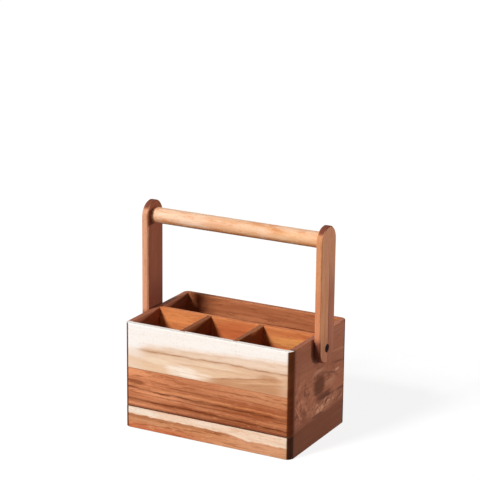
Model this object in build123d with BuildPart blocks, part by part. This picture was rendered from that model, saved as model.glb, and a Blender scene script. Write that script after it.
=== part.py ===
"""Wooden utensil caddy with a swinging handle and a shallow drawer, in millimetres.

+X is the right side seen from the front, +Y runs to the back, +Z is up.
The origin lies under the middle of the box, on the surface that it stands on.
"""

import os

from build123d import *

os.makedirs("parts", exist_ok=True)

# ---- box
box_width = 230.0
box_depth = 152.0
box_height = 136.5
front_thickness = 8.0
back_thickness = 8.0
side_thickness = 8.0
corner_radius = 7.5  # upright outer corners
rim_ease = 1.2  # round sanded along the rim
foot_ease = 0.8  # round sanded along the bottom edges
drawer_seam_height = 29.4  # underside of the middle front board
front_seam_height = 79.5  # glue line between the two front boards
back_seam_height = 66.0  # glue line between the two back boards

# ---- floor and base, let into grooves
floor_underside = 32.5
floor_thickness = 5.0
base_lift = 1.0  # the base panel hangs clear of the table
base_thickness = 5.0
groove_depth = 3.0
finger_notch_width = 34.0
finger_notch_depth = 13.0

# ---- dividers, let into housings
divider_thickness = 7.0
long_divider_y = 0.0
cross_divider_x = 36.5  # from the centre line to the middle of each one
panel_housing = 2.5
long_divider_housing = 2.0
divider_ease = 0.8

# ---- loose splines glued into the corner joints
spline_thickness = 2.0
spline_in_board = 3.5
spline_in_side = 7.0
spline_wall = 2.5  # wood between a spline and the outer face of the side panel
spline_rim_cover = 7.0  # the splines stop short of the rim
spline_low_cover = 3.5  # and start this far above the board's lowest groove

# ---- drawer
drawer_front_thickness = 7.7
drawer_seam_gap = 0.6
table_clearance = 0.7
ride_clearance = 0.4
drawer_side_clearance = 0.8
drawer_rear_clearance = 1.5
drawer_side_thickness = 6.0
drawer_side_height = 20.0
drawer_back_thickness = 6.0
drawer_back_inset = 3.0  # from the rear ends of the drawer sides
drawer_back_clearance = 1.3  # below the floor
drawer_bottom_thickness = 3.0
drawer_bottom_lift = 3.0  # from the lower edges of the drawer sides
drawer_groove_depth = 2.5
drawer_joint_depth = 3.0
stop_strip_depth = 8.0
stop_strip_height = 4.2

# ---- handle
upright_width = 37.6
upright_thickness = 8.4
upright_gap = 0.8  # between a side panel and its upright
upright_ease = 1.1  # edges taken off with a plane and sanded
pivot_below_rim = 15.0
handle_length = 133.7  # from the pivot to the middle of the grip
grip_radius = 9.9
tenon_radius = 6.0
tenon_length = 5.2
socket_room = 0.3

# ---- pivot screws and washers
shoulder_radius = 2.5
shoulder_clearance = 0.08
core_radius = 1.9
pilot_clearance = 0.05
screw_bite = 26.0  # below the outer face of the side panel
head_radius = 4.5
head_height = 2.4
head_ease = 0.7
head_clearance = 0.25
head_well_radius = 5.0
head_well_depth = 3.3
recess_length = 4.6
recess_width = 1.0
recess_depth = 1.3
washer_radius = 7.0
washer_thickness = 0.5
washer_bore_clearance = 0.2

# ---- places that follow from the sizes
outer_x = box_width / 2
inner_x = outer_x - side_thickness
groove_x = inner_x + groove_depth
front_y = -box_depth / 2
back_y = box_depth / 2
inner_front_y = front_y + front_thickness
inner_back_y = back_y - back_thickness
floor_top = floor_underside + floor_thickness
base_top = base_lift + base_thickness
pivot_height = box_height - pivot_below_rim
spline_outer_x = outer_x - spline_wall
spline_inner_x = spline_outer_x - spline_thickness
spline_top = box_height - spline_rim_cover

sides = (("left", -1), ("right", 1))


def slab(low, high, mode=Mode.ADD):
    """Box between two opposite corners, in the part that is open."""
    middle = [(a + b) / 2 for a, b in zip(low, high)]
    length, width, height = (abs(b - a) for a, b in zip(low, high))
    with Locations(tuple(middle)):
        Box(length, width, height, mode=mode)


def rod(start, direction, radius, length, mode=Mode.ADD):
    """Cylinder from the middle of its first end along a direction."""
    with Locations(Plane(origin=start, z_dir=direction)):
        Cylinder(radius, length, align=(Align.CENTER, Align.CENTER, Align.MIN), mode=mode)


def rounded_board_plan(outer_y, thickness, height):
    """Plan of a board across the whole width, with its outer corners rounded."""
    outward = -1 if outer_y < 0 else 1
    with BuildSketch(Plane.XY.offset(height)) as plan:
        with Locations((0, outer_y - outward * thickness / 2)):
            Rectangle(box_width, thickness)
        corners = plan.vertices().filter_by(lambda v: abs(v.Y - outer_y) < 0.01)
        fillet(corners, radius=min(corner_radius, thickness - 0.3))
    return plan.sketch


def spline(side, outward, mode=Mode.ADD):
    """Thin strip across one corner joint, or the groove that it fills."""
    face_y = inner_front_y if outward < 0 else inner_back_y
    low_groove_top = floor_top if outward < 0 else base_top
    slab(
        (side * spline_inner_x, face_y - outward * spline_in_side, low_groove_top + spline_low_cover),
        (side * spline_outer_x, face_y + outward * spline_in_board, spline_top),
        mode=mode,
    )


def ease_inner_rim(face_y, outward):
    """Round the inner top edge of a front or back board between the side panels."""
    with BuildSketch(Plane.YZ.offset(-inner_x)) as waste:
        with Locations((face_y + outward * rim_ease / 2, box_height - rim_ease / 2)):
            Rectangle(rim_ease, rim_ease)
        with Locations((face_y + outward * rim_ease, box_height - rim_ease)):
            Circle(rim_ease, mode=Mode.SUBTRACT)
    extrude(waste.sketch, amount=2 * inner_x, mode=Mode.SUBTRACT)


def save(piece, name):
    """Label a finished piece and write it under its node's name."""
    piece.part.label = name
    export_step(piece.part, f"parts/{name}.step")


# ---- front boards: edge-glued, housed for the cross dividers, grooved for the floor
with BuildPart() as front_top_board:
    extrude(rounded_board_plan(front_y, front_thickness, front_seam_height), amount=box_height - front_seam_height)
    rim = front_top_board.edges().filter_by(lambda e: e.center().Z > box_height - 0.01)
    fillet(rim.filter_by(lambda e: e.center().Y < inner_front_y - 0.01), radius=rim_ease)
    ease_inner_rim(inner_front_y, -1)
    for side in (-1, 1):
        slab(
            (side * cross_divider_x - divider_thickness / 2, inner_front_y - panel_housing, front_seam_height),
            (side * cross_divider_x + divider_thickness / 2, inner_front_y, box_height),
            mode=Mode.SUBTRACT,
        )
        spline(side, -1, Mode.SUBTRACT)
save(front_top_board, "front_top_board")

with BuildPart() as front_middle_board:
    extrude(
        rounded_board_plan(front_y, front_thickness, drawer_seam_height), amount=front_seam_height - drawer_seam_height
    )
    for side in (-1, 1):
        slab(
            (side * cross_divider_x - divider_thickness / 2, inner_front_y - panel_housing, floor_top),
            (side * cross_divider_x + divider_thickness / 2, inner_front_y, front_seam_height),
            mode=Mode.SUBTRACT,
        )
        spline(side, -1, Mode.SUBTRACT)
    slab(
        (-groove_x, inner_front_y - groove_depth, floor_underside),
        (groove_x, inner_front_y, floor_top),
        mode=Mode.SUBTRACT,
    )
save(front_middle_board, "front_middle_board")

# ---- back boards: edge-glued, the lower one grooved for the floor and the base
with BuildPart() as back_upper_board:
    extrude(rounded_board_plan(back_y, back_thickness, back_seam_height), amount=box_height - back_seam_height)
    rim = back_upper_board.edges().filter_by(lambda e: e.center().Z > box_height - 0.01)
    fillet(rim.filter_by(lambda e: e.center().Y > inner_back_y + 0.01), radius=rim_ease)
    ease_inner_rim(inner_back_y, 1)
    for side in (-1, 1):
        spline(side, 1, Mode.SUBTRACT)
save(back_upper_board, "back_upper_board")

with BuildPart() as back_lower_board:
    extrude(rounded_board_plan(back_y, back_thickness, 0), amount=back_seam_height)
    foot = back_lower_board.edges().filter_by(lambda e: e.center().Z < 0.01)
    fillet(foot.filter_by(lambda e: e.center().Y > inner_back_y + 0.01), radius=foot_ease)
    for low, high in ((floor_underside, floor_top), (base_lift, base_top)):
        slab(
            (-groove_x, inner_back_y, low),
            (groove_x, inner_back_y + groove_depth, high),
            mode=Mode.SUBTRACT,
        )
    for side in (-1, 1):
        spline(side, 1, Mode.SUBTRACT)
save(back_lower_board, "back_lower_board")

# ---- side panels: grooves for floor and base, housing for the long divider, pivot hole
for side_name, side in sides:
    with BuildPart() as side_panel:
        slab((side * inner_x, inner_front_y, 0), (side * outer_x, inner_back_y, box_height))
        fillet(
            side_panel.edges().filter_by(Axis.Y).filter_by(lambda e: e.center().Z > box_height - 0.01), radius=rim_ease
        )
        fillet(
            side_panel.edges().filter_by(Axis.Y).filter_by(
                lambda e: e.center().Z < 0.01 and abs(e.center().X) > outer_x - 0.01
            ),
            radius=foot_ease,
        )
        for low, high in ((floor_underside, floor_top), (base_lift, base_top)):
            slab((side * inner_x, inner_front_y, low), (side * groove_x, inner_back_y, high), mode=Mode.SUBTRACT)
        slab(
            (side * inner_x, long_divider_y - divider_thickness / 2, floor_top),
            (side * (inner_x + panel_housing), long_divider_y + divider_thickness / 2, box_height),
            mode=Mode.SUBTRACT,
        )
        rod(
            (side * outer_x, long_divider_y, pivot_height),
            (-side, 0, 0),
            core_radius + pilot_clearance,
            side_thickness,
            Mode.SUBTRACT,
        )
        for outward in (-1, 1):
            spline(side, outward, Mode.SUBTRACT)
    save(side_panel, f"{side_name}_side_panel")

# ---- floor of the compartments and base under the drawer
with BuildPart() as compartment_floor:
    slab(
        (-groove_x, inner_front_y - groove_depth, floor_underside),
        (groove_x, inner_back_y + groove_depth, floor_top),
    )
save(compartment_floor, "compartment_floor")

with BuildPart() as base_panel:
    slab((-groove_x, inner_front_y, base_lift), (groove_x, inner_back_y + groove_depth, base_top))
    with BuildSketch(Plane.XY.offset(base_lift)):
        with Locations((0, inner_front_y)):
            SlotCenterToCenter(
                finger_notch_width - 2 * finger_notch_depth, 2 * finger_notch_depth
            )
    extrude(amount=base_thickness, mode=Mode.SUBTRACT)
save(base_panel, "base_panel")

# ---- dividers, from the floor to the rim
with BuildPart() as long_divider:
    reach = inner_x + panel_housing
    slab(
        (-reach, long_divider_y - divider_thickness / 2, floor_top),
        (reach, long_divider_y + divider_thickness / 2, box_height),
    )
    fillet(
        long_divider.edges().filter_by(Axis.X).filter_by(lambda e: e.center().Z > box_height - 0.01),
        radius=divider_ease,
    )
    housed_face_y = long_divider_y - divider_thickness / 2
    for side in (-1, 1):
        slab(
            (side * cross_divider_x - divider_thickness / 2, housed_face_y, floor_top),
            (side * cross_divider_x + divider_thickness / 2, housed_face_y + long_divider_housing, box_height),
            mode=Mode.SUBTRACT,
        )
        rod(
            (side * reach, long_divider_y, pivot_height),
            (-side, 0, 0),
            core_radius + pilot_clearance,
            outer_x + screw_bite - reach,
            Mode.SUBTRACT,
        )
save(long_divider, "long_divider")

for side_name, side in sides:
    with BuildPart() as cross_divider:
        slab(
            (side * cross_divider_x - divider_thickness / 2, inner_front_y - panel_housing, floor_top),
            (side * cross_divider_x + divider_thickness / 2, housed_face_y + long_divider_housing, box_height),
        )
        fillet(
            cross_divider.edges().filter_by(Axis.Y).filter_by(lambda e: e.center().Z > box_height - 0.01),
            radius=divider_ease,
        )
    save(cross_divider, f"{side_name}_cross_divider")

# ---- splines that hold the front and back boards to the side panels
for splines_name, outward in (("front_corner_splines", -1), ("back_corner_splines", 1)):
    with BuildPart() as splines:
        for side in (-1, 1):
            spline(side, outward)
    save(splines, splines_name)

# ---- drawer: front board over the whole width, sides, back and a let-in bottom
drawer_front_back_y = front_y + drawer_front_thickness
drawer_outer_x = inner_x - drawer_side_clearance
drawer_inner_x = drawer_outer_x - drawer_side_thickness
drawer_low_z = base_top + ride_clearance
drawer_side_top = drawer_low_z + drawer_side_height
drawer_rear_y = inner_back_y - drawer_rear_clearance
drawer_back_rear_y = drawer_rear_y - drawer_back_inset
drawer_back_front_y = drawer_back_rear_y - drawer_back_thickness
drawer_back_top = floor_underside - drawer_back_clearance
drawer_bottom_low = drawer_low_z + drawer_bottom_lift
drawer_bottom_top = drawer_bottom_low + drawer_bottom_thickness
drawer_bottom_x = drawer_inner_x + drawer_groove_depth
drawer_front_top = drawer_seam_height - drawer_seam_gap

with BuildPart() as drawer_front:
    extrude(
        rounded_board_plan(front_y, drawer_front_thickness, table_clearance), amount=drawer_front_top - table_clearance
    )
    foot = drawer_front.edges().filter_by(lambda e: e.center().Z < table_clearance + 0.01)
    fillet(foot.filter_by(lambda e: e.center().Y < drawer_front_back_y - 0.01), radius=foot_ease)
    for side in (-1, 1):
        slab(
            (side * drawer_inner_x, drawer_front_back_y - drawer_joint_depth, drawer_low_z),
            (side * drawer_outer_x, drawer_front_back_y, drawer_side_top),
            mode=Mode.SUBTRACT,
        )
    slab(
        (-drawer_inner_x, drawer_front_back_y - drawer_groove_depth, drawer_bottom_low),
        (drawer_inner_x, drawer_front_back_y, drawer_bottom_top),
        mode=Mode.SUBTRACT,
    )
save(drawer_front, "drawer_front")

for side_name, side in sides:
    with BuildPart() as drawer_side:
        slab(
            (side * drawer_inner_x, drawer_front_back_y - drawer_joint_depth, drawer_low_z),
            (side * drawer_outer_x, drawer_rear_y, drawer_side_top),
        )
        slab(
            (side * drawer_inner_x, drawer_front_back_y - drawer_groove_depth, drawer_bottom_low),
            (side * drawer_bottom_x, drawer_rear_y, drawer_bottom_top),
            mode=Mode.SUBTRACT,
        )
        slab(
            (side * drawer_inner_x, drawer_back_front_y, drawer_bottom_top),
            (side * drawer_bottom_x, drawer_back_rear_y, drawer_side_top),
            mode=Mode.SUBTRACT,
        )
    save(drawer_side, f"drawer_{side_name}_side")

with BuildPart() as drawer_back:
    slab(
        (-drawer_bottom_x, drawer_back_front_y, drawer_bottom_top),
        (drawer_bottom_x, drawer_back_rear_y, drawer_side_top),
    )
    slab(
        (-drawer_inner_x, drawer_back_front_y, drawer_side_top),
        (drawer_inner_x, drawer_back_rear_y, drawer_back_top),
    )
save(drawer_back, "drawer_back")

with BuildPart() as drawer_bottom:
    slab(
        (-drawer_inner_x, drawer_front_back_y - drawer_groove_depth, drawer_bottom_low),
        (drawer_inner_x, drawer_rear_y, drawer_bottom_top),
    )
    slab(
        (-drawer_bottom_x, drawer_front_back_y, drawer_bottom_low),
        (drawer_bottom_x, drawer_rear_y, drawer_bottom_top),
    )
save(drawer_bottom, "drawer_bottom")

# ---- strip under the floor that the drawer back meets at full travel
stop_strip_rear_y = inner_front_y + stop_strip_depth
with BuildPart() as drawer_stop_strip:
    slab(
        (-drawer_inner_x, inner_front_y, floor_underside - stop_strip_height),
        (drawer_inner_x, stop_strip_rear_y, floor_underside),
    )
save(drawer_stop_strip, "drawer_stop_strip")

# ---- handle: two flat uprights with half-round ends, and a turned grip with tenons
upright_inner_x = outer_x + upright_gap
upright_outer_x = upright_inner_x + upright_thickness
grip_height = pivot_height + handle_length

for side_name, side in sides:
    with BuildPart() as upright:
        with BuildSketch(Plane.YZ.offset(side * upright_inner_x)):
            with Locations((long_divider_y, pivot_height + handle_length / 2)):
                SlotCenterToCenter(handle_length, upright_width, rotation=90)
        extrude(amount=side * upright_thickness)
        chamfer(upright.faces().filter_by(Axis.X).edges(), length=upright_ease)
        rod(
            (side * upright_inner_x, long_divider_y, pivot_height),
            (side, 0, 0),
            shoulder_radius + shoulder_clearance,
            upright_thickness,
            Mode.SUBTRACT,
        )
        rod(
            (side * upright_outer_x, long_divider_y, pivot_height),
            (-side, 0, 0),
            head_well_radius,
            head_well_depth,
            Mode.SUBTRACT,
        )
        rod(
            (side * upright_inner_x, long_divider_y, grip_height),
            (side, 0, 0),
            tenon_radius,
            tenon_length + socket_room,
            Mode.SUBTRACT,
        )
    save(upright, f"{side_name}_upright")

with BuildPart() as grip_dowel:
    tenon_end_x = upright_inner_x + tenon_length
    rod((-upright_inner_x, long_divider_y, grip_height), (1, 0, 0), grip_radius, 2 * upright_inner_x)
    rod((-tenon_end_x, long_divider_y, grip_height), (1, 0, 0), tenon_radius, 2 * tenon_end_x)
save(grip_dowel, "grip_dowel")

# ---- pivot screws: head in the well of the upright, shoulder in its bore, thread in the box
well_floor_x = upright_outer_x - head_well_depth
head_low_x = well_floor_x + head_clearance

for side_name, side in sides:
    with BuildPart() as screw:
        rod((side * outer_x, long_divider_y, pivot_height), (side, 0, 0), shoulder_radius, head_low_x - outer_x)
        rod((side * outer_x, long_divider_y, pivot_height), (-side, 0, 0), core_radius, screw_bite)
        rod((side * head_low_x, long_divider_y, pivot_height), (side, 0, 0), head_radius, head_height)
        crown = screw.faces().sort_by(Axis.X)[-1 if side > 0 else 0]
        chamfer(crown.edges(), length=head_ease)
        head_top_x = head_low_x + head_height
        for width_y, width_z in ((recess_length, recess_width), (recess_width, recess_length)):
            slab(
                (side * (head_top_x - recess_depth), long_divider_y - width_y / 2, pivot_height - width_z / 2),
                (side * head_top_x, long_divider_y + width_y / 2, pivot_height + width_z / 2),
                mode=Mode.SUBTRACT,
            )
    save(screw, f"{side_name}_pivot_screw")

    with BuildPart() as washer:
        rod((side * outer_x, long_divider_y, pivot_height), (side, 0, 0), washer_radius, washer_thickness)
        rod(
            (side * outer_x, long_divider_y, pivot_height),
            (side, 0, 0),
            shoulder_radius + washer_bore_clearance,
            washer_thickness,
            Mode.SUBTRACT,
        )
    save(washer, f"{side_name}_pivot_washer")

print("drawer travel to the stop:", round(drawer_back_front_y - stop_strip_rear_y, 2))
print("overall height:", round(grip_height + upright_width / 2, 2))
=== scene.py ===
"""Looks of a wooden utensil caddy with a swinging handle and a shallow drawer."""

import math

import bpy
from mathutils import Matrix, Vector


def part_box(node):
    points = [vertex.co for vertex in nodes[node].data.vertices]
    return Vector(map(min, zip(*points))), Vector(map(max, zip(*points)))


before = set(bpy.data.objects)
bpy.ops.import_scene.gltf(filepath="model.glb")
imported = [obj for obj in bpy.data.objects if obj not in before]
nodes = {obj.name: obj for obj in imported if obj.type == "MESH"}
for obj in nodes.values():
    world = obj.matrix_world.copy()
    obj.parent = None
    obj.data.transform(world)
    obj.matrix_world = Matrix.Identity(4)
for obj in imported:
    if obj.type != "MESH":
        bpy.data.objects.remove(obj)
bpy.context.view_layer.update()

# ==== Camera ====================================================================
# It stands in front, to the right of the caddy and a little above the grip, with a
# long lens. Its angles come from fitting the caddy's outlines to the photograph.
camera_azimuth = math.radians(28.148)
camera_elevation = math.radians(15.958)
camera_roll = math.radians(0.587)
camera_distance = 2.4166
camera_aim_right = 0.0058
camera_aim_up = 0.2298

towards_camera = Vector(
    (
        math.sin(camera_azimuth) * math.cos(camera_elevation),
        -math.cos(camera_azimuth) * math.cos(camera_elevation),
        math.sin(camera_elevation),
    )
)
level_right = Vector((math.cos(camera_azimuth), math.sin(camera_azimuth), 0))
level_up = towards_camera.cross(level_right)
view_right = math.cos(camera_roll) * level_right + math.sin(camera_roll) * level_up
view_up = math.cos(camera_roll) * level_up - math.sin(camera_roll) * level_right

camera = bpy.data.objects.new("camera", bpy.data.cameras.new("camera"))
bpy.context.scene.collection.objects.link(camera)
camera.data.lens = 144.86
camera.data.sensor_width = 36.0
camera_place = (
    camera_distance * towards_camera + camera_aim_right * view_right + camera_aim_up * view_up
)
camera_turn = Matrix((view_right, view_up, towards_camera)).transposed().to_4x4()
camera.matrix_world = Matrix.Translation(camera_place) @ camera_turn
bpy.context.scene.camera = camera

# ==== Light =====================================================================
# A soft key from the front left, a low fill from the right and a weak one from behind,
# in a dim room that is white only where the camera or a gloss looks at it.
bpy.context.scene.view_settings.view_transform = "Standard"


def plug(tree, socket, value):
    """Link a socket into an input, or set the input to a plain value."""
    if isinstance(value, bpy.types.NodeSocket):
        tree.links.new(value, socket)
    else:
        socket.default_value = value


def put(tree, kind, inputs=(), **settings):
    """New shader node with its settings and its inputs, each a socket or a value."""
    made = tree.nodes.new("ShaderNode" + kind)
    for setting, value in settings.items():
        setattr(made, setting, value)
    for socket_name, value in dict(inputs).items():
        plug(tree, made.inputs[socket_name], value)
    return made


def calc(tree, operation, *values, clamp=False):
    """Output of one Math node."""
    made = tree.nodes.new("ShaderNodeMath")
    made.operation = operation
    made.use_clamp = clamp
    for socket, value in zip(made.inputs, values):
        plug(tree, socket, value)
    return made.outputs[0]


def seen_straight(tree):
    """1 for rays from the camera, a gloss or a glass, 0 for light that falls on the caddy."""
    path = put(tree, "LightPath").outputs
    shown = calc(tree, "MAXIMUM", path["Is Camera Ray"], path["Is Glossy Ray"])
    return calc(tree, "MAXIMUM", shown, path["Is Transmission Ray"])


def add_sun(name, towards, strength, softness, colour):
    """Far lamp that shines from a direction; its softness is its angle in degrees."""
    lamp = bpy.data.objects.new(name, bpy.data.lights.new(name, "SUN"))
    lamp.data.energy = strength
    lamp.data.angle = math.radians(softness)
    lamp.data.color = colour
    lamp.rotation_mode = "QUATERNION"
    lamp.rotation_quaternion = Vector(towards).to_track_quat("Z", "Y")
    bpy.context.scene.collection.objects.link(lamp)


add_sun(
    "key_light",
    towards=(-0.35, -0.79, 0.60),
    strength=3.4,
    softness=14,
    colour=(1.0, 0.985, 0.97),
)
warm_white = (1.0, 0.975, 0.95)
add_sun("fill_light", towards=(0.82, 0.57, 0.06), strength=1.47, softness=4, colour=warm_white)
add_sun("back_light", towards=(-0.15, 0.97, 0.10), strength=0.55, softness=14, colour=warm_white)

world = bpy.data.worlds.new("pale_room")
bpy.context.scene.world = world
world.use_nodes = True
room = world.node_tree
room.nodes.clear()
room_glow = put(room, "Background", {"Color": (0.98, 0.985, 1.0, 1), "Strength": 0.12})
room_white = put(room, "Background", {"Color": (1, 1, 1, 1), "Strength": 1.0})
room_mix = put(
    room,
    "MixShader",
    {"Fac": seen_straight(room), 1: room_glow.outputs[0], 2: room_white.outputs[0]},
)
put(room, "OutputWorld", {"Surface": room_mix.outputs[0]})

# ==== Floor =====================================================================
# A wide white table top that fills the picture and takes the caddy's faint shadow.
# To the light it is a plain grey, so that it throws little up at the caddy.
floor_half = 14.0
floor_mesh = bpy.data.meshes.new("floor")
floor_corners = [
    (x * floor_half, y * floor_half, 0) for x, y in ((-1, -1), (1, -1), (1, 1), (-1, 1))
]
floor_mesh.from_pydata(floor_corners, [], [(0, 1, 2, 3)])
floor = bpy.data.objects.new("floor", floor_mesh)
bpy.context.scene.collection.objects.link(floor)

floor_material = bpy.data.materials.new("white_floor")
floor_material.use_nodes = True
table = floor_material.node_tree
table.nodes.clear()
table_glow = put(table, "Emission", {"Color": (1, 1, 1, 1), "Strength": 0.86})
table_shade = put(table, "BsdfDiffuse", {"Color": (0.22, 0.22, 0.22, 1)})
table_seen = put(table, "AddShader", {0: table_glow.outputs[0], 1: table_shade.outputs[0]})
table_grey = put(table, "BsdfDiffuse", {"Color": (0.34, 0.33, 0.32, 1)})
table_mix = put(
    table,
    "MixShader",
    {"Fac": seen_straight(table), 1: table_grey.outputs[0], 2: table_seen.outputs[0]},
)
put(table, "OutputMaterial", {"Surface": table_mix.outputs[0]})
floor_mesh.materials.append(floor_material)


# ==== Front top board ===========================================================
# A pale sapwood board, planed, sanded and oiled, edge-glued over the brown board.
# A thin brown vein runs along it, and its lower right turns to heartwood.
# The timber that every later board is cut from is worked out here, where it comes first.
def srgb(red, green, blue):
    """Linear colour, with alpha, from 0 to 255 screen values."""
    screen = [value / 255 for value in (red, green, blue)]
    linear = [((v + 0.055) / 1.055) ** 2.4 if v > 0.04045 else v / 12.92 for v in screen]
    return (*linear, 1.0)


def ramp(tree, value, low, high, bottom=0.0, top=1.0):
    """Smooth step of a value from low to high, put out between bottom and top."""
    limits = {"Value": value, "From Min": low, "From Max": high, "To Min": bottom, "To Max": top}
    return put(tree, "MapRange", limits, interpolation_type="SMOOTHSTEP").outputs["Result"]


def noise(tree, place, seed, scale, detail, roughness=0.5):
    """Noise from 0 to 1 at a place that is stretched first, with a seed of its own."""
    stretched = put(tree, "VectorMath", {0: place, 1: scale}, operation="MULTIPLY").outputs[0]
    settings = {
        "Vector": stretched, "W": seed, "Scale": 1.0, "Detail": detail, "Roughness": roughness
    }
    return put(tree, "TexNoise", settings, noise_dimensions="4D").outputs["Fac"]


def swing(tree, place, seed, scale, detail, roughness=0.5):
    """Noise from -0.5 to 0.5, for what sways or frays."""
    return calc(tree, "SUBTRACT", noise(tree, place, seed, scale, detail, roughness), 0.5)


def blend_colour(tree, share, under, over, how="MIX"):
    """Colour over another by a share, as a mix, a product or another blend."""
    made = tree.nodes.new("ShaderNodeMix")
    made.data_type = "RGBA"
    made.blend_type = how
    made.clamp_factor = True
    for index, value in ((0, share), (6, under), (7, over)):
        plug(tree, made.inputs[index], value)
    return made.outputs[2]


NUMBER, PLACE = "NodeSocketFloat", "NodeSocketVector"


def new_group(name, inputs, outputs):
    """Empty shader node group with a Grain input, others as (name, type, default), and outputs."""
    tree = bpy.data.node_groups.new(name, "ShaderNodeTree")
    tree.interface.new_socket("Grain", in_out="INPUT", socket_type=PLACE)
    for socket_name, kind, default in (*inputs, ("Seed", NUMBER, 0.0)):
        tree.interface.new_socket(
            socket_name, in_out="INPUT", socket_type=kind
        ).default_value = default
    for socket_name in outputs:
        tree.interface.new_socket(socket_name, in_out="OUTPUT", socket_type=NUMBER)
    return tree, tree.nodes.new("NodeGroupInput").outputs, tree.nodes.new("NodeGroupOutput").inputs


# Figure: dark and pale wood in layers round a pith, cut lengthwise into long streaks.
figure_inputs = (
    ("Layer", NUMBER, 0.007),
    ("Pith Depth", NUMBER, 0.06),
    ("Pith Offset", NUMBER, 0.0),
    ("Wander", NUMBER, 0.01),
)
figure, given, result = new_group("wood_figure", figure_inputs, ("Streaks", "Bands"))
lie = put(figure, "SeparateXYZ", {0: given["Grain"]}).outputs
drift = swing(figure, given["Grain"], given["Seed"], scale=(6.0, 14.0, 14.0), detail=2.0)
shift = calc(figure, "MULTIPLY", drift, given["Wander"])
across = calc(figure, "ADD", calc(figure, "ADD", lie["Y"], given["Pith Offset"]), shift)
through = calc(figure, "ADD", lie["Z"], given["Pith Depth"])
squares = calc(figure, "MULTIPLY_ADD", across, across, calc(figure, "MULTIPLY", through, through))
radius = calc(figure, "ADD", calc(figure, "SQRT", squares), shift)
layers = calc(figure, "DIVIDE", radius, given["Layer"])
cut = put(
    figure, "CombineXYZ", {"X": calc(figure, "MULTIPLY", lie["X"], 7.0), "Y": layers}
).outputs[0]
streaks = noise(figure, cut, given["Seed"], scale=(1.0, 1.0, 1.0), detail=4.5, roughness=0.62)
bands = noise(figure, cut, given["Seed"], scale=(0.5, 0.28, 1.0), detail=1.5, roughness=0.5)
figure.links.new(ramp(figure, streaks, 0.33, 0.67), result["Streaks"])
figure.links.new(ramp(figure, bands, 0.36, 0.64), result["Bands"])

# Fibre: hair-fine lines, open pores, short streaks, flecks and soft clouds. Each is noise with
# its fineness along and across the grain, its detail and roughness, and is cut from low to high.
fibre_kinds = {
    "Hair": (14.0, 700.0, 2.5, 0.6, 0.3, 0.7),
    "Pores": (210.0, 2300.0, 1.0, 0.4, 0.62, 0.72),
    "Dashes": (40.0, 380.0, 3.5, 0.62, 0.51, 0.66),
    "Flecks": (110.0, 620.0, 2.0, 0.55, 0.56, 0.70),
    "Cloud": (18.0, 60.0, 2.5, 0.55, 0.3, 0.7),
}
fibre, given, result = new_group("wood_fibre", (), tuple(fibre_kinds))
for kind, (long, wide, detail, roughness, low, high) in fibre_kinds.items():
    specks = noise(fibre, given["Grain"], given["Seed"], (long, wide, wide), detail, roughness)
    fibre.links.new(ramp(fibre, specks, low, high), result[kind])


def wandering_line(tree, given, along):
    """Height of a line along the grain that slopes and sways."""
    sway = swing(
        tree, given["Grain"], given["Seed"], scale=(14.0, 0.0, 20.0), detail=4.0, roughness=0.7
    )
    straight = calc(tree, "MULTIPLY_ADD", along, given["Slope"], given["Height"])
    return calc(tree, "MULTIPLY_ADD", sway, given["Waver"], straight)


# Vein: a dark line along the grain that wavers, breaks up and fades at both ends.
line_inputs = (("Height", NUMBER, 0.0), ("Slope", NUMBER, 0.0), ("Waver", NUMBER, 0.004))
vein_inputs = (
    *line_inputs,
    ("Above", NUMBER, 0.002),
    ("Below", NUMBER, 0.002),
    ("Start", NUMBER, -1.0),
    ("End", NUMBER, 1.0),
    ("Fade", NUMBER, 0.02),
)
vein, given, result = new_group("wood_vein", vein_inputs, ("Line",))
lie = put(vein, "SeparateXYZ", {0: given["Grain"]}).outputs
rise = calc(vein, "SUBTRACT", lie["Y"], wandering_line(vein, given, lie["X"]))
upper = calc(vein, "SUBTRACT", 1.0, calc(vein, "DIVIDE", rise, given["Above"]), clamp=True)
lower = calc(vein, "ADD", 1.0, calc(vein, "DIVIDE", rise, given["Below"]), clamp=True)
line = calc(vein, "POWER", calc(vein, "MULTIPLY", upper, lower), 1.5)
fade_in = ramp(vein, lie["X"], given["Start"], calc(vein, "ADD", given["Start"], given["Fade"]))
fade_out = ramp(vein, lie["X"], given["End"], calc(vein, "SUBTRACT", given["End"], given["Fade"]))
breaks = noise(
    vein, given["Grain"], given["Seed"], scale=(45.0, 420.0, 420.0), detail=3.0, roughness=0.6
)
broken = calc(vein, "MULTIPLY", line, ramp(vein, breaks, 0.32, 0.62, bottom=0.45, top=1.0))
vein.links.new(
    calc(vein, "MULTIPLY", broken, calc(vein, "MULTIPLY", fade_in, fade_out)), result["Line"]
)

# Patch: an oval of other colour whose rim frays out along the grain.
patch_inputs = (
    ("Centre", PLACE, (0, 0, 0)), ("Size", PLACE, (0.01, 0.01, 1.0)), ("Ragged", NUMBER, 0.8)
)
patch, given, result = new_group("wood_patch", patch_inputs, ("Mask",))
offset = put(
    patch, "VectorMath", {0: given["Grain"], 1: given["Centre"]}, operation="SUBTRACT"
).outputs[0]
scaled = put(patch, "VectorMath", {0: offset, 1: given["Size"]}, operation="DIVIDE").outputs[0]
reach = put(patch, "VectorMath", {0: scaled}, operation="LENGTH").outputs["Value"]
fray = swing(
    patch, given["Grain"], given["Seed"], scale=(45.0, 260.0, 260.0), detail=3.5, roughness=0.6
)
patch.links.new(
    ramp(patch, calc(patch, "MULTIPLY_ADD", fray, given["Ragged"], reach), 1.15, 0.45),
    result["Mask"],
)

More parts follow.
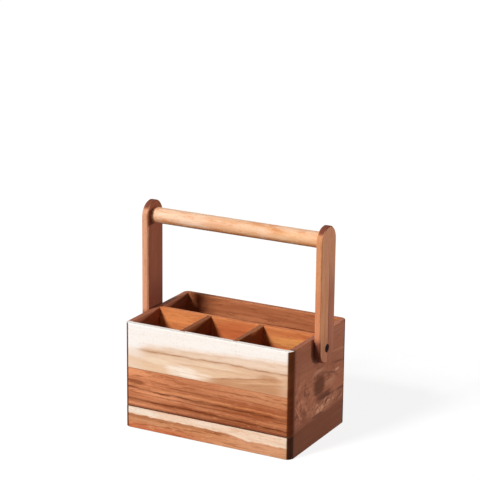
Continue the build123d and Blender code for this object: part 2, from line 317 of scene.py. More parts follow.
# Border: where one wood gives way to another above a line that frays along the grain.
border, given, result = new_group(
    "wood_border", (*line_inputs, ("Soft", NUMBER, 0.002)), ("Above",)
)
lie = put(border, "SeparateXYZ", {0: given["Grain"]}).outputs
fray = swing(
    border, given["Grain"], given["Seed"], scale=(60.0, 420.0, 420.0), detail=3.0, roughness=0.6
)
spread = calc(border, "MULTIPLY", fray, calc(border, "MULTIPLY", given["Waver"], 0.8))
line = calc(border, "ADD", wandering_line(border, given, lie["X"]), spread)
above = calc(border, "DIVIDE", calc(border, "SUBTRACT", lie["Y"], line), given["Soft"])
border.links.new(ramp(border, above, -1.0, 1.0), result["Above"])

# Sanded edge: where an edge was taken off by hand, and the rounded normal there.
sanded = bpy.data.node_groups.new("sanded_edge", "ShaderNodeTree")
sanded.interface.new_socket("Radius", in_out="INPUT", socket_type=NUMBER).default_value = 0.001
sanded.interface.new_socket("Edge", in_out="OUTPUT", socket_type=NUMBER)
sanded.interface.new_socket("Normal", in_out="OUTPUT", socket_type=PLACE)
given = sanded.nodes.new("NodeGroupInput").outputs
result = sanded.nodes.new("NodeGroupOutput").inputs
rounded = put(sanded, "Bevel", {"Radius": given["Radius"]}, samples=6).outputs[0]
flat_normal = put(sanded, "NewGeometry").outputs["Normal"]
facing = put(
    sanded, "VectorMath", {0: rounded, 1: flat_normal}, operation="DOT_PRODUCT"
).outputs["Value"]
sanded.links.new(ramp(sanded, facing, 0.995, 0.8), result["Edge"])
sanded.links.new(rounded, result["Normal"])


def use(tree, group, **values):
    """A group placed in a material; an underscore in a value's name stands for a space."""
    made = tree.nodes.new("ShaderNodeGroup")
    made.node_tree = group
    for name, value in values.items():
        plug(tree, made.inputs[name.replace("_", " ")], value)
    return made.outputs


def new_material(name):
    """Material, its node tree and its shader."""
    made = bpy.data.materials.new(name)
    made.use_nodes = True
    return made, made.node_tree, made.node_tree.nodes["Principled BSDF"]


# Names of a board's length, width and thickness, by the axis that its grain runs along.
GRAIN_AXES = {"X": ("X", "Z", "Y"), "Y": ("Y", "Z", "X"), "Z": ("Z", "Y", "X")}


class Timber:
    """A board's oiled wood in the making: colours are laid one over another, then it is finished.

    Along, across and through are the board's length, its width and its thickness. Layer is the
    thickness of a growth layer. The layers lie round a pith at minus pith through and at minus
    offset across, and sway by wander. Bands is the share of broad bands against fine streaks.
    """

    def __init__(
        self,
        name,
        axis,
        pale,
        deep,
        seed,
        layer=0.007,
        pith=0.05,
        offset=0.0,
        wander=0.01,
        bands=0.5,
    ):
        self.material, self.tree, self.shader = new_material(name)
        self.seed = seed
        place = put(self.tree, "TexCoord").outputs
        here = put(self.tree, "SeparateXYZ", {0: place["Object"]}).outputs
        self.facing = put(self.tree, "SeparateXYZ", {0: place["Normal"]}).outputs
        along, across, through = GRAIN_AXES[axis]
        self.along, self.across, self.through = here[along], here[across], here[through]
        turned = {"X": self.along, "Y": self.across, "Z": self.through}
        self.grain = put(self.tree, "CombineXYZ", turned).outputs[0]
        self.endwise = calc(self.tree, "ABSOLUTE", self.facing[along])
        cut = {"Layer": layer, "Pith_Depth": pith, "Pith_Offset": offset, "Wander": wander}
        self.figure = use(self.tree, figure, Grain=self.grain, Seed=seed, **cut)
        self.fibre = use(self.tree, fibre, Grain=self.grain, Seed=seed)
        banded = self.times(self.figure["Bands"], bands)
        streaked = self.times(self.figure["Streaks"], 1.0 - bands)
        self.colour = blend_colour(self.tree, calc(self.tree, "ADD", banded, streaked), pale, deep)

    def ramp(self, value, low, high, bottom=0.0, top=1.0):
        """Smooth step, as the function of the same name."""
        return ramp(self.tree, value, low, high, bottom=bottom, top=top)

    def times(self, first, *others):
        """Product of masks and numbers."""
        for other in others:
            first = calc(self.tree, "MULTIPLY", first, other)
        return first

    def without(self, mask):
        """All that a mask leaves out."""
        return calc(self.tree, "SUBTRACT", 1.0, mask)

    def lay(self, colour, share, how="MIX"):
        """Lay a colour over the wood, by a mask or a number."""
        self.colour = blend_colour(self.tree, share, self.colour, colour, how)

    def above(self, height, slope=0.0, waver=0.004, soft=0.002, seed=0.0):
        """Mask of the wood above a fraying line."""
        sizes = {"Height": height, "Slope": slope, "Waver": waver, "Soft": soft}
        return use(self.tree, border, Grain=self.grain, Seed=self.seed + seed, **sizes)["Above"]

    def patch(self, centre, size, ragged=0.8, seed=0.0):
        """Mask of an oval at (along, across), as deep as the board."""
        places = {"Centre": (*centre, 0.0), "Size": (*size, 1.0)}
        return use(
            self.tree, patch, Grain=self.grain, Ragged=ragged, Seed=self.seed + seed, **places
        )["Mask"]

    def stain(self, colour, share, centre, size, ragged=0.8, seed=0.0):
        """Lay a colour in an oval, with a share of it."""
        self.lay(colour, self.times(self.patch(centre, size, ragged=ragged, seed=seed), share))

    def vein(
        self,
        colour,
        strength,
        seed,
        height,
        slope=0.0,
        waver=0.004,
        above=0.0016,
        below=0.003,
        start=-1.0,
        end=1.0,
    ):
        """Lay one vein along the board, thinning out above and below its middle line."""
        sizes = {"Height": height, "Slope": slope, "Waver": waver, "Above": above, "Below": below}
        ends = {"Start": start, "End": end}
        line = use(
            self.tree, vein, Grain=self.grain, Seed=self.seed + seed, **ends, **sizes
        )["Line"]
        self.lay(colour, self.times(line, strength))

    def finish(
        self, end_colour, pore_colour, roughness=0.5, hair=0.22, cloud=0.25, end_turn=0.45
    ):
        """Clouds, fibre, pores, end grain, sanded edges lightened with wear and a painted
        highlight, gloss and relief.

        End grain shows where a face has turned by end_turn from the board's length.
        """
        tree = self.tree
        end_blend = 0.25
        end_rings = 0.6
        end_roughness = 0.15
        pore_share = 0.45
        hair_roughness = 0.1
        hair_relief = 0.4
        edge_radius = 0.0009
        edge_wear_and_highlight = 0.3
        gloss_level = 0.05
        self.lay(srgb(236, 204, 184), self.times(self.fibre["Cloud"], cloud), "MULTIPLY")
        self.lay(srgb(168, 110, 74), self.times(self.fibre["Hair"], hair), "MULTIPLY")
        self.lay(pore_colour, self.times(self.fibre["Pores"], pore_share))
        end = self.ramp(self.endwise, end_turn, end_turn + end_blend)
        self.lay(end_colour, end)
        self.lay(
            srgb(190, 160, 140), self.times(end, self.figure["Streaks"], end_rings), "MULTIPLY"
        )
        edge = use(tree, sanded, Radius=edge_radius)
        # The sanded edges are lightened: partly worn wood, partly a painted highlight where they
        # catch the light.
        self.lay(srgb(255, 232, 206), self.times(edge["Edge"], edge_wear_and_highlight), "SOFT_LIGHT")
        tree.links.new(self.colour, self.shader.inputs["Base Color"])
        rough = calc(tree, "MULTIPLY_ADD", self.fibre["Hair"], hair_roughness, roughness)
        rough = calc(tree, "MULTIPLY_ADD", end, end_roughness, rough)
        tree.links.new(rough, self.shader.inputs["Roughness"])
        sunken = self.times(self.fibre["Pores"], -1.0)
        relief = calc(tree, "MULTIPLY_ADD", self.fibre["Hair"], hair_relief, sunken)
        fine = {"Height": relief, "Strength": 0.15, "Distance": 0.0003, "Normal": edge["Normal"]}
        tree.links.new(put(tree, "Bump", fine).outputs["Normal"], self.shader.inputs["Normal"])
        self.shader.inputs["Specular IOR Level"].default_value = gloss_level
        return self.material


def dress(name, material):
    """Give a node its material."""
    nodes[name].data.materials.clear()
    nodes[name].data.materials.append(material)


cream = Timber(
    "pale_front_board",
    "X",
    srgb(255, 253, 251),
    srgb(255, 248, 241),
    seed=3.1,
    layer=0.01,
    bands=0.6,
)
low_wood = cream.without(cream.above(height=0.1175, slope=0.055, waver=0.008, soft=0.005))
tinged = cream.times(low_wood, cream.ramp(cream.along, -0.102, -0.075))
cream.lay(srgb(242, 212, 184), cream.times(tinged, 0.85))
deeper = cream.without(cream.above(height=0.1065, slope=0.012, waver=0.01, soft=0.004, seed=3.0))
cream.lay(
    srgb(237, 200, 164),
    cream.times(deeper, cream.ramp(cream.figure["Streaks"], 0.1, 0.9, bottom=0.9, top=0.45)),
)
rosy = cream.times(deeper, cream.ramp(cream.along, -0.01, 0.07))
cream.lay(
    srgb(228, 182, 150),
    cream.times(rosy, cream.ramp(cream.figure["Streaks"], 0.2, 0.8, bottom=0.35, top=0.9)),
)
cream.stain(srgb(255, 238, 220), 0.95, (-0.034, 0.0885), (0.026, 0.0065), ragged=1.1)
cream.stain(srgb(255, 240, 224), 0.9, (-0.031, 0.0835), (0.025, 0.0048), ragged=1.3, seed=8.0)
cream.stain(srgb(253, 230, 208), 0.75, (-0.004, 0.0865), (0.015, 0.0042), ragged=1.3, seed=11.0)
cream.stain(srgb(250, 226, 200), 0.6, (-0.07, 0.094), (0.022, 0.005), ragged=1.1, seed=2.0)
cream.stain(srgb(248, 222, 196), 0.6, (0.02, 0.101), (0.03, 0.0025), ragged=1.1, seed=3.0)
heart_line = {"slope": 0.165, "waver": 0.005}
heart_start = cream.ramp(cream.along, -0.010, 0.022)
heart_end = cream.ramp(cream.along, 0.108, 0.09, bottom=0.35, top=1.0)
heart = cream.times(
    cream.without(cream.above(height=0.0845, soft=0.0014, **heart_line)), heart_start, heart_end
)
cream.lay(srgb(220, 168, 128), cream.times(heart, 0.92))
cream.lay(srgb(190, 134, 94), cream.times(heart, cream.figure["Streaks"], 0.7))
cream.lay(srgb(164, 108, 72), cream.times(heart, cream.fibre["Dashes"], 0.55))
cream.vein(
    srgb(234, 192, 154),
    strength=0.8,
    seed=4.0,
    height=0.079,
    above=0.0012,
    below=0.0018,
    start=0.03,
    end=0.115,
    **heart_line,
)
cream.vein(
    srgb(176, 122, 84),
    strength=0.8,
    seed=0.0,
    height=0.076,
    above=0.001,
    below=0.0016,
    start=0.04,
    end=0.115,
    **heart_line,
)
cream.vein(
    srgb(176, 122, 86),
    strength=0.9,
    seed=0.0,
    height=0.0845,
    above=0.0014,
    below=0.0026,
    start=0.0,
    end=0.1,
    **heart_line,
)
cream.stain(srgb(190, 136, 98), 0.6, (0.086, 0.0985), (0.018, 0.0062), ragged=1.4)
cream.stain(srgb(220, 180, 146), 0.6, (-0.074, 0.1055), (0.026, 0.004), ragged=1.3, seed=6.0)
cream.vein(
    srgb(222, 184, 152),
    strength=0.7,
    seed=5.0,
    height=0.106,
    slope=0.012,
    waver=0.009,
    above=0.006,
    below=0.006,
    start=-0.1,
)
cream.vein(
    srgb(172, 120, 86),
    strength=1.0,
    seed=5.0,
    height=0.106,
    slope=0.012,
    waver=0.009,
    above=0.0018,
    below=0.0024,
    start=-0.098,
)
cream.vein(
    srgb(214, 170, 136),
    strength=0.8,
    seed=9.0,
    height=0.0975,
    slope=0.02,
    waver=0.008,
    above=0.002,
    start=-0.05,
    end=0.07,
)
cream.vein(
    srgb(226, 192, 164),
    strength=0.7,
    seed=12.0,
    height=0.1145,
    slope=0.04,
    waver=0.008,
    above=0.002,
    below=0.004,
    start=-0.07,
)
cream.lay(srgb(216, 176, 144), cream.times(cream.fibre["Dashes"], tinged, 0.4))
# The boards' round corners show end grain once they have turned this far.
corner_turn = 0.2
cream_material = cream.finish(
    srgb(106, 54, 25), srgb(214, 172, 138), hair=0.05, cloud=0.05, end_turn=corner_turn
)
dress("front_top_board", cream_material)

# ==== Front middle board ========================================================
# Reddish brown heartwood with darker veins along it, edge-glued under the pale board
# and grooved inside for the floor. Its lower edge is the line above the drawer.
brown_low, brown_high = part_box("front_middle_board")
drawer_seam = brown_low.z
glue_line = brown_high.z
brown = Timber(
    "brown_front_board",
    "X",
    srgb(222, 150, 108),
    srgb(184, 114, 76),
    seed=11.3,
    layer=0.0055,
    bands=0.45,
)
sunny = brown.times(
    brown.ramp(brown.along, -0.01, -0.08),
    brown.ramp(brown.figure["Streaks"], 0.1, 0.9, bottom=0.9, top=0.2),
)
brown.lay(srgb(240, 162, 116), brown.times(sunny, 0.85))
brown.stain(srgb(248, 174, 126), 0.8, (-0.1, 0.074), (0.036, 0.005), ragged=1.0, seed=8.0)
brown.stain(srgb(198, 120, 84), 0.35, (-0.095, 0.0565), (0.05, 0.005), ragged=1.0, seed=9.0)
dusky = brown.patch((0.07, 0.053), (0.085, 0.011), ragged=0.8, seed=5.0)
brown.lay(
    srgb(166, 92, 54),
    brown.times(dusky, brown.ramp(brown.fibre["Cloud"], 0, 1, bottom=0.5, top=0.95)),
)
brown.stain(srgb(216, 154, 112), 0.7, (0.09, 0.073), (0.06, 0.008), ragged=1.0, seed=6.0)
darker = brown.without(brown.above(height=0.0425, slope=-0.02, waver=0.006, soft=0.004))
dark_left = brown.ramp(brown.along, -0.11, -0.02, bottom=0.5, top=1.0)
brown.lay(
    srgb(150, 82, 48),
    brown.times(
        darker, dark_left, brown.ramp(brown.figure["Streaks"], 0, 1, bottom=0.35, top=0.95)
    ),
)
brown.lay(srgb(236, 168, 120), brown.times(brown.ramp(brown.fibre["Hair"], 0.5, 0.9), 0.3))
brown.stain(srgb(138, 74, 42), 0.8, (-0.1, 0.0618), (0.018, 0.0042), ragged=1.2)
brown.lay(srgb(152, 82, 46), brown.times(brown.fibre["Dashes"], 0.62))
brown.lay(srgb(234, 164, 118), brown.times(brown.fibre["Flecks"], 0.38))
brown.vein(
    srgb(142, 78, 44),
    strength=0.9,
    seed=2.0,
    height=0.0615,
    slope=-0.01,
    waver=0.006,
    below=0.0024,
    start=-0.064,
    end=0.022,
)
brown.vein(
    srgb(158, 92, 54),
    strength=0.7,
    seed=4.0,
    height=0.066,
    slope=-0.02,
    waver=0.006,
    above=0.001,
    below=0.0016,
    start=0.0,
)
brown.vein(
    srgb(160, 94, 56),
    strength=0.6,
    seed=6.0,
    height=0.072,
    slope=-0.01,
    waver=0.006,
    above=0.001,
    below=0.002,
    start=-0.06,
)
brown.vein(
    srgb(236, 162, 108),
    strength=0.8,
    seed=1.0,
    height=0.0562,
    slope=-0.015,
    waver=0.009,
    above=0.0022,
    below=0.0022,
)
brown.vein(
    srgb(92, 42, 18),
    strength=1.0,
    seed=1.0,
    height=0.0522,
    slope=-0.015,
    waver=0.009,
    above=0.0018,
    below=0.0032,
)
brown.vein(
    srgb(132, 68, 38),
    strength=0.8,
    seed=3.0,
    height=0.047,
    slope=-0.01,
    waver=0.006,
    above=0.0012,
    below=0.0022,
)
brown.vein(
    srgb(226, 146, 96),
    strength=0.6,
    seed=10.0,
    height=0.0425,
    slope=-0.01,
    waver=0.005,
    above=0.0012,
    below=0.0014,
)
brown.vein(
    srgb(104, 48, 24),
    strength=1.0,
    seed=8.0,
    height=0.0385,
    slope=-0.014,
    waver=0.009,
    above=0.0018,
    below=0.0028,
)
# Shadow in the seam over the drawer, and a thin brown line of glue along the top.
over_seam = calc(brown.tree, "SUBTRACT", brown.across, drawer_seam)
brown.lay(srgb(122, 62, 42), brown.ramp(over_seam, 0.0042, 0.0008, bottom=0.0, top=0.7))
brown.lay(srgb(48, 20, 10), brown.ramp(over_seam, 0.0009, 0.0001, bottom=0.0, top=0.9))
under_glue = calc(brown.tree, "SUBTRACT", glue_line, brown.across)
glue_share = brown.ramp(brown.along, 0.02, -0.05, bottom=0.3, top=0.8)
brown.lay(srgb(132, 74, 44), brown.times(brown.ramp(under_glue, 0.0008, 0.0002), glue_share))
dress(
    "front_middle_board",
    brown.finish(srgb(104, 51, 25), srgb(92, 46, 24), hair=0.22, end_turn=corner_turn),
)

# ==== Drawer front ==============================================================
# One board across the whole width: a stripe of sapwood left along its top edge, light
# brown and flecked below, redder at its lower left.
drawer_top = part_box("drawer_front")[1].z
striped = Timber(
    "drawer_front_board",
    "X",
    srgb(228, 168, 126),
    srgb(202, 138, 96),
    seed=23.7,
    layer=0.0045,
    bands=0.4,
)
right_end = striped.ramp(striped.along, 0.03, 0.075)
striped.lay(
    srgb(220, 164, 126),
    striped.times(right_end, striped.ramp(striped.figure["Streaks"], 0, 1, bottom=0.8, top=0.4)),
)
foot_wood = striped.without(striped.above(height=0.0075, waver=0.006, soft=0.004))
striped.lay(
    srgb(204, 108, 68), striped.times(foot_wood, striped.ramp(striped.along, 0.03, -0.06), 0.8)
)
stripe_drop = striped.ramp(striped.along, 0.02, 0.06, bottom=0.0, top=0.0048)
raised = calc(striped.tree, "ADD", striped.across, stripe_drop)
dropped = put(
    striped.tree, "CombineXYZ", {"X": striped.along, "Y": raised, "Z": striped.through}
).outputs[0]
stripe = use(
    striped.tree, border, Grain=dropped, Height=0.0198, Waver=0.0066, Soft=0.001, Seed=24.0
)["Above"]
plain_wood = striped.without(stripe)
under_stripe = striped.times(plain_wood, striped.above(height=0.015, waver=0.003, soft=0.0015))
striped.lay(
    srgb(160, 100, 60), striped.times(under_stripe, striped.ramp(striped.along, 0.05, 0.0), 0.5)
)
striped.stain(srgb(204, 132, 86), 0.6, (-0.01, 0.011), (0.045, 0.008), ragged=1.0, seed=7.0)
dash_share = striped.ramp(striped.along, 0.09, 0.02, bottom=0.3, top=0.75)
striped.lay(srgb(156, 92, 54), striped.times(striped.fibre["Dashes"], plain_wood, dash_share))
striped.lay(srgb(240, 190, 146), striped.times(striped.fibre["Flecks"], plain_wood, 0.45))
striped.lay(srgb(252, 232, 208), stripe)
striped.lay(srgb(244, 204, 176), striped.times(stripe, striped.figure["Streaks"], 0.6))
striped.lay(srgb(228, 176, 136), striped.times(stripe, striped.fibre["Dashes"], 0.45))
striped.lay(
    srgb(255, 241, 228),
    striped.times(striped.patch((0.0, 0.0255), (0.032, 0.0032), ragged=1.2), stripe, 0.5),
)
striped.lay(
    srgb(255, 242, 224),
    striped.times(striped.patch((-0.1, 0.0245), (0.045, 0.0045), ragged=1.0, seed=3.0), stripe),
)
# Shadow along the drawer's top edge.
under_top = calc(striped.tree, "SUBTRACT", drawer_top, striped.across)
striped.lay(srgb(92, 48, 28), striped.ramp(under_top, 0.0006, 0.0001, bottom=0.0, top=0.8))
dress(
    "drawer_front",
    striped.finish(srgb(70, 37, 26), srgb(132, 80, 50), hair=0.18, end_turn=corner_turn),
)

# ==== Side panels ===============================================================
# One board each. The right one is cut near a branch: flame figure at its front, a
# greenish knot under the handle, a dark crease behind it and plain wood at the foot.
panel_pale, panel_deep = srgb(185, 118, 88), srgb(158, 96, 70)
knotty = Timber("right_panel_board", "Y", panel_pale, panel_deep, seed=31.9, wander=0.03, bands=0.7)
# Places by their heading and distance from the knot: noise on them bends round it.
knot_along, knot_across = 0.001, 0.0720
knot_middle = {0: knotty.grain, 1: (knot_along, knot_across, 0.0)}
from_knot = put(knotty.tree, "VectorMath", knot_middle, operation="SUBTRACT").outputs[0]
flattened = put(
    knotty.tree, "VectorMath", {0: from_knot, 1: (0.65, 1.0, 0.0)}, operation="MULTIPLY"
).outputs[0]
reach = put(knotty.tree, "VectorMath", {0: flattened}, operation="LENGTH").outputs["Value"]
heading = put(knotty.tree, "VectorMath", {0: flattened}, operation="NORMALIZE").outputs[0]
sway = swing(knotty.tree, knotty.grain, 8.0, scale=(45.0, 45.0, 45.0), detail=2.0)
bent = put(knotty.tree, "SeparateXYZ", {0: heading}).outputs
bend = {"X": bent["X"], "Y": bent["Y"], "Z": calc(knotty.tree, "MULTIPLY_ADD", sway, 0.030, reach)}
round_knot = put(knotty.tree, "CombineXYZ", bend).outputs[0]
flames = noise(knotty.tree, round_knot, 2.0, scale=(3.2, 3.2, 190.0), detail=4.0, roughness=0.62)
pale_flames = knotty.ramp(flames, 0.50, 0.60)
dark_flames = knotty.ramp(flames, 0.47, 0.37)
rings = knotty.ramp(
    noise(knotty.tree, round_knot, 5.0, scale=(1.0, 1.0, 95.0), detail=2.5, roughness=0.6),
    0.35,
    0.65,
)
swirl = knotty.patch((-0.004, 0.066), (0.082, 0.036), ragged=0.7, seed=2.0)
pale_arcs = knotty.times(knotty.ramp(rings, 0.55, 0.95), knotty.ramp(flames, 0.42, 0.56), swirl)
knotty.lay(
    srgb(206, 138, 106),
    knotty.times(pale_arcs, knotty.ramp(knotty.along, -0.035, 0.0, bottom=0.35, top=0.8)),
)
dark_arcs = knotty.times(knotty.ramp(rings, 0.40, 0.05), knotty.ramp(flames, 0.60, 0.44), swirl)
knotty.lay(srgb(118, 66, 44), knotty.times(dark_arcs, 0.75))
flame_area = knotty.patch((-0.053, 0.063), (0.034, 0.034), ragged=0.8, seed=3.0)
knotty.lay(
    srgb(216, 146, 112),
    knotty.times(pale_flames, flame_area, knotty.ramp(rings, 0.3, 0.8, bottom=0.2, top=0.75)),
)
knotty.lay(srgb(116, 66, 44), knotty.times(dark_flames, flame_area, 0.8))
knotty.stain(srgb(148, 86, 58), 0.85, (-0.038, 0.0415), (0.009, 0.0085), ragged=0.7, seed=9.0)
knotty.stain(srgb(206, 146, 118), 0.8, (-0.003, 0.09), (0.018, 0.0035), ragged=1.3, seed=10.0)
knotty.stain(
    srgb(104, 54, 22), 0.92, (knot_along, knot_across), (0.019, 0.018), ragged=0.7, seed=4.0
)
knotty.stain(srgb(206, 144, 112), 0.8, (0.028, 0.069), (0.015, 0.0045), ragged=1.3, seed=11.0)
dark_line = srgb(108, 60, 38)
knotty.vein(
    dark_line,
    strength=0.95,
    seed=6.0,
    height=0.088,
    slope=-0.26,
    waver=0.008,
    below=0.0034,
    start=0.002,
    end=0.055,
)
knotty.vein(
    srgb(112, 60, 40),
    strength=0.9,
    seed=7.0,
    height=0.0985,
    slope=-0.19,
    waver=0.01,
    below=0.0034,
    start=0.03,
)
knotty.vein(
    srgb(212, 146, 118),
    strength=0.8,
    seed=11.0,
    height=0.109,
    slope=-0.12,
    waver=0.01,
    above=0.003,
    start=0.026,
)
knotty.stain(srgb(238, 174, 144), 0.9, (0.05, 0.078), (0.007, 0.0018), ragged=1.2, seed=12.0)
knotty.stain(srgb(106, 58, 36), 0.85, (0.014, 0.0545), (0.026, 0.006), ragged=1.3, seed=13.0)
knotty.vein(
    srgb(76, 38, 22),
    strength=1.0,
    seed=8.0,
    height=0.0535,
    slope=-0.05,
    waver=0.008,
    above=0.0028,
    below=0.004,
    start=-0.004,
)
pale_band = knotty.patch((0.022, 0.0425), (0.062, 0.0088), ragged=0.8, seed=5.0)
knotty.lay(srgb(184, 120, 90), knotty.times(pale_band, 0.7))
knotty.lay(srgb(232, 168, 134), knotty.times(pale_band, pale_flames, 0.95))
knotty.lay(dark_line, knotty.times(pale_band, dark_flames, 0.85))
knotty.stain(dark_line, 0.8, (-0.003, 0.0345), (0.02, 0.0028), ragged=1.3, seed=14.0)
knotty.lay(
    srgb(132, 76, 54),
    knotty.times(knotty.fibre["Dashes"], knotty.ramp(knotty.across, 0.06, 0.09), 0.3),
)
foot = knotty.without(knotty.above(height=0.0335, slope=0.03, waver=0.01, soft=0.003, seed=1.0))
knotty.lay(
    srgb(130, 73, 46),
    knotty.times(foot, knotty.ramp(knotty.along, 0.06, -0.02, bottom=0.75, top=1.0)),
)
knotty.lay(srgb(116, 66, 38), knotty.times(foot, knotty.ramp(knotty.along, -0.03, -0.07), 0.8))
# Painted shade along the panel's front edge, next to the corner of the front boards.
knotty.lay(srgb(96, 50, 34), knotty.ramp(knotty.along, -0.0615, -0.0685, bottom=0.0, top=0.75))
plainer = Timber(
    "left_panel_board", "Y", panel_pale, panel_deep, seed=36.4, layer=0.006, pith=0.13, wander=0.02
)
plainer.lay(srgb(132, 76, 54), plainer.times(plainer.fibre["Dashes"], 0.45))
plainer.vein(
    srgb(110, 62, 40),
    strength=0.8,
    seed=1.0,
    height=0.06,
    slope=0.06,
    waver=0.008,
    below=0.004,
    end=0.05,
)
plainer.vein(
    srgb(120, 68, 44),
    strength=0.7,
    seed=2.0,
    height=0.092,
    slope=0.05,
    waver=0.008,
    below=0.004,
    start=-0.04,
)
for side, timber in (("right", knotty), ("left", plainer)):
    dress(
        f"{side}_side_panel",
        timber.finish(srgb(96, 52, 34), srgb(104, 60, 40), roughness=0.48, hair=0.13),
    )

# ==== Back boards ===============================================================
# Two brown boards with level streaks, edge-glued, that close the back. The upper one's
# inner face shows over the long divider.
back_upper = Timber(
    "back_upper_wood",
    "X",
    srgb(204, 134, 92),
    srgb(166, 98, 62),
    seed=41.2,
    layer=0.0055,
    bands=0.3,
)
back_upper.lay(srgb(138, 76, 46), back_upper.times(back_upper.fibre["Dashes"], 0.5))
back_upper.vein(srgb(116, 62, 36), strength=0.9, seed=1.0, height=0.1125, slope=0.01, waver=0.007)
back_upper.vein(
    srgb(138, 80, 50), strength=0.7, seed=2.0, height=0.092, slope=0.01, waver=0.008, below=0.004
)
back_lower = Timber(
    "back_lower_wood", "X", srgb(196, 124, 82), srgb(154, 88, 54), seed=44.9, layer=0.006
)
back_lower.lay(srgb(130, 70, 42), back_lower.times(back_lower.fibre["Dashes"], 0.5))
back_lower.vein(srgb(112, 58, 34), strength=0.9, seed=3.0, height=0.042, slope=-0.01, waver=0.008)
for name, timber in (("back_upper_board", back_upper), ("back_lower_board", back_lower)):
    dress(name, timber.finish(srgb(84, 40, 22), srgb(104, 56, 34), hair=0.25, end_turn=corner_turn))

# ==== Floor and base ============================================================
# Thin plain boards let into grooves: the floor under the pockets and the base under
# the drawer.
ground_wood = Timber(
    "floor_board", "X", srgb(190, 126, 88), srgb(152, 92, 60), seed=53.4, layer=0.009, wander=0.02
)
ground_material = ground_wood.finish(srgb(100, 56, 34), srgb(110, 62, 40), roughness=0.58)
for name in ("compartment_floor", "base_panel"):
    dress(name, ground_material)

# ==== Dividers ==================================================================
# Orange-brown boards with the grain lying level, let into the panels and into each
# other, their top edges sanded round.
orange = Timber(
    "long_divider_board",
    "X",
    srgb(230, 148, 92),
    srgb(196, 106, 62),
    seed=61.8,
    layer=0.006,
    bands=0.45,
)
orange.stain(srgb(198, 88, 50), 0.42, (0.0, 0.122), (0.038, 0.014), ragged=1.0)
orange.stain(srgb(248, 164, 100), 0.7, (-0.084, 0.126), (0.034, 0.011), ragged=1.0, seed=3.0)
orange.stain(srgb(238, 170, 96), 0.6, (0.085, 0.12), (0.045, 0.009), ragged=1.1, seed=2.0)
orange.lay(srgb(158, 84, 46), orange.times(orange.fibre["Dashes"], 0.4))
dress("long_divider", orange.finish(srgb(100, 50, 26), srgb(140, 78, 44), hair=0.2))
cross_wood = Timber(
    "cross_divider_board", "Y", srgb(172, 108, 66), srgb(132, 74, 42), seed=67.3, layer=0.006
)
cross_material = cross_wood.finish(srgb(96, 50, 28), srgb(104, 56, 34))
for side in ("left", "right"):
    dress(f"{side}_cross_divider", cross_material)

# ==== Corner splines ============================================================
# Thin hardwood strips glued inside the corner joints, hidden when it is assembled.
spline_wood = Timber(
    "spline_strip", "Z", srgb(216, 176, 128), srgb(196, 150, 104), seed=71.5, layer=0.003
)
spline_material = spline_wood.finish(srgb(170, 124, 82), srgb(150, 104, 66), roughness=0.7)
for name in ("front_corner_splines", "back_corner_splines"):
    dress(name, spline_material)

# ==== Drawer box ================================================================
# Sides, back and bottom of plain light brown wood, and the stop strip under the floor.
pale_box, deep_box = srgb(214, 164, 120), srgb(182, 128, 86)
lengthwise = Timber("drawer_side_wood", "Y", pale_box, deep_box, seed=87.1, layer=0.005)
crosswise = Timber("drawer_back_wood", "X", pale_box, deep_box, seed=83.6, layer=0.005)
drawer_pieces = (
    (lengthwise, ("drawer_left_side", "drawer_right_side")),
    (crosswise, ("drawer_back", "drawer_bottom", "drawer_stop_strip")),
)
for timber, names in drawer_pieces:
    drawer_material = timber.finish(srgb(140, 88, 56), srgb(140, 92, 58), roughness=0.62)
    for name in names:
        dress(name, drawer_material)
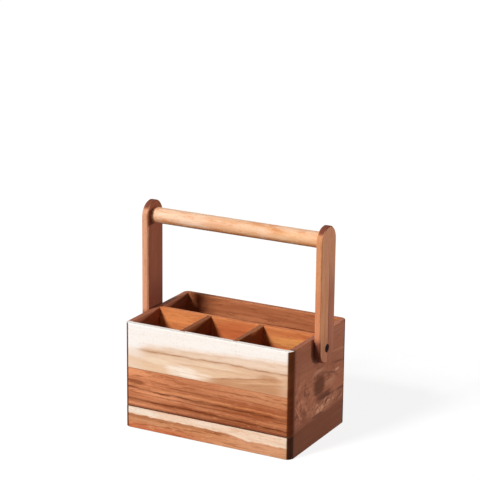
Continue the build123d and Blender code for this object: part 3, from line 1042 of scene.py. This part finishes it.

# ==== Handle uprights ===========================================================
# Flat arms sawn with the grain along them, half-round at both ends, their edges taken
# off. The front edge of each is paler wood, with brown heartwood behind it.
# Height of the pivots, and the radius to which the well round a screw is darkened with painted
# shade, then clear.
pivot_height = 0.1215
shaded_well_radius = 0.0051
shaded_well_rim = 0.0057
arm_colours = {
    "left": (srgb(240, 178, 144), srgb(222, 158, 120)),
    "right": (srgb(234, 166, 126), srgb(208, 136, 98)),
}
for side, heart_edge, seed in (("left", -0.0160, 95.7), ("right", 0.0022, 91.4)):
    arm = Timber(f"{side}_upright_wood", "Z", *arm_colours[side], seed, layer=0.0045, pith=0.04)
    front_edge = arm.ramp(arm.facing["Y"], -0.3, -0.7)
    heart = arm.times(
        arm.above(height=heart_edge, waver=0.005, soft=0.0014), arm.without(front_edge)
    )
    if side == "right":
        heart = arm.times(heart, arm.ramp(arm.along, 0.240, 0.200))
        arm.lay(srgb(226, 164, 112), arm.times(arm.ramp(arm.across, -0.010, -0.016), 0.5))
        arm.lay(srgb(188, 122, 98), arm.times(heart, 0.9))
        arm.lay(srgb(152, 86, 66), arm.times(heart, arm.figure["Streaks"], 0.7))
        rosy_top = arm.times(arm.ramp(arm.along, 0.180, 0.220), arm.without(front_edge))
        arm.lay(srgb(252, 194, 158), arm.times(rosy_top, 0.38))
        arm.lay(srgb(224, 142, 104), arm.times(front_edge, arm.ramp(arm.along, 0.215, 0.180), 0.6))
        arm.lay(
            srgb(186, 120, 90), arm.times(arm.ramp(arm.along, 0.15, 0.12), arm.without(heart), 0.6)
        )
    else:
        arm.lay(srgb(160, 90, 62), arm.times(heart, 0.95))
        arm.lay(srgb(132, 70, 48), arm.times(heart, arm.figure["Streaks"], 0.6))
        # Painted shade: the heartwood darkens towards the arm's lower end.
        arm.lay(srgb(118, 62, 48), arm.times(heart, arm.ramp(arm.along, 0.200, 0.140), 0.8))
    arm.vein(
        srgb(128, 68, 46),
        strength=0.85,
        seed=0.0,
        height=heart_edge,
        waver=0.005,
        above=0.003,
        below=0.0014,
        end=0.245,
    )
    # Painted shade on each arm's front edge below the rim, where the box shades it.
    arm.lay(srgb(108, 60, 50), arm.times(front_edge, arm.ramp(arm.along, 0.139, 0.128), 0.9))
    arm.lay(srgb(160, 92, 62), arm.times(arm.fibre["Dashes"], 0.3))
    flat = put(
        arm.tree, "VectorMath", {0: arm.grain, 1: (1.0, 1.0, 0.0)}, operation="MULTIPLY"
    ).outputs[0]
    to_pivot = {0: flat, 1: (pivot_height, 0.0, 0.0)}
    from_pivot = put(arm.tree, "VectorMath", to_pivot, operation="DISTANCE").outputs["Value"]
    # Painted shade in the well round each screw.
    arm.lay(srgb(40, 20, 10), arm.ramp(from_pivot, shaded_well_rim, shaded_well_radius, bottom=0.0, top=0.95))
    dress(f"{side}_upright", arm.finish(srgb(144, 86, 68), srgb(150, 92, 62), hair=0.18))

# ==== Grip ======================================================================
# A turned dowel of pale orange wood, glued by a tenon into each upright. The turning
# cuts through its layers, so the figure runs out in long slanting flames.
grip_low, grip_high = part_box("grip_dowel")
grip_height = (grip_low.z + grip_high.z) / 2
amber_cut = {"layer": 0.0034, "pith": 0.012, "offset": -grip_height, "wander": 0.016}
amber = Timber(
    "grip_dowel_wood", "X", srgb(255, 221, 190), srgb(240, 182, 138), seed=101.2, **amber_cut
)
# Painted shade: the grip's underside is laid darker orange along its streaks.
shaded_underside = amber.without(amber.above(height=grip_height - 0.0035, waver=0.012, soft=0.003))
amber.lay(
    srgb(226, 146, 88),
    amber.times(shaded_underside, amber.ramp(amber.figure["Streaks"], 0.1, 0.8, bottom=0.3, top=0.9)),
)
amber.lay(
    srgb(230, 164, 100),
    amber.times(amber.fibre["Cloud"], amber.ramp(amber.figure["Bands"], 0.3, 0.8), 0.8),
)
amber.lay(srgb(214, 140, 92), amber.times(amber.fibre["Dashes"], 0.45))
amber.lay(srgb(255, 230, 210), amber.times(amber.fibre["Flecks"], 0.5))
blotch = noise(amber.tree, amber.grain, 9.0, scale=(42.0, 130.0, 130.0), detail=3.5, roughness=0.62)
amber.lay(srgb(220, 142, 84), amber.times(amber.ramp(blotch, 0.52, 0.63), 0.6))
amber.lay(srgb(255, 218, 190), amber.times(amber.ramp(blotch, 0.47, 0.36), 0.4))
amber.stain(srgb(255, 224, 200), 0.45, (-0.05, grip_height), (0.05, 0.006), ragged=1.4, seed=2.0)
amber.stain(srgb(224, 150, 90), 0.45, (-0.022, grip_height), (0.026, 0.005), ragged=1.8, seed=5.0)
# Painted highlight: a pale pink patch along the grip's upper side.
amber.stain(
    srgb(255, 222, 192), 0.5, (0.02, grip_height + 0.003), (0.036, 0.005), ragged=1.8, seed=4.0
)
amber.stain(srgb(252, 208, 164), 0.4, (0.08, grip_height), (0.04, 0.008), ragged=1.6, seed=6.0)
dress(
    "grip_dowel",
    amber.finish(srgb(150, 96, 62), srgb(206, 140, 92), roughness=0.44, hair=0.12, cloud=0.15),
)

# ==== Pivot screws and washers ==================================================
# Black shoulder screws sunk in a well in each upright, and thin plain washers that
# keep the uprights off the side panels.
screw_metal, steel, shader = new_material("black_oxide_screw")
rub = noise(
    steel, put(steel, "TexCoord").outputs["Object"], 1.0, scale=(900.0, 900.0, 900.0), detail=3.0
)
screw_edge = use(steel, sanded, Radius=0.0003)
rubbed = calc(steel, "MULTIPLY", screw_edge["Edge"], ramp(steel, rub, 0.4, 0.6))
steel.links.new(
    blend_colour(steel, rubbed, srgb(24, 14, 8), srgb(70, 52, 40)), shader.inputs["Base Color"]
)
steel.links.new(ramp(steel, rub, 0.3, 0.7, bottom=0.5, top=0.65), shader.inputs["Roughness"])
steel.links.new(screw_edge["Normal"], shader.inputs["Normal"])
shader.inputs["Specular IOR Level"].default_value = 0.05

washer_metal, steel, shader = new_material("plain_steel_washer")
brushing = noise(
    steel, put(steel, "TexCoord").outputs["Object"], 2.0, scale=(700.0, 700.0, 8000.0), detail=2.0
)
brushed = blend_colour(steel, brushing, srgb(150, 148, 144), srgb(182, 180, 176))
steel.links.new(brushed, shader.inputs["Base Color"])
steel.links.new(ramp(steel, brushing, 0.3, 0.7, bottom=0.3, top=0.45), shader.inputs["Roughness"])
shader.inputs["Metallic"].default_value = 1.0
for side in ("left", "right"):
    dress(f"{side}_pivot_screw", screw_metal)
    dress(f"{side}_pivot_washer", washer_metal)
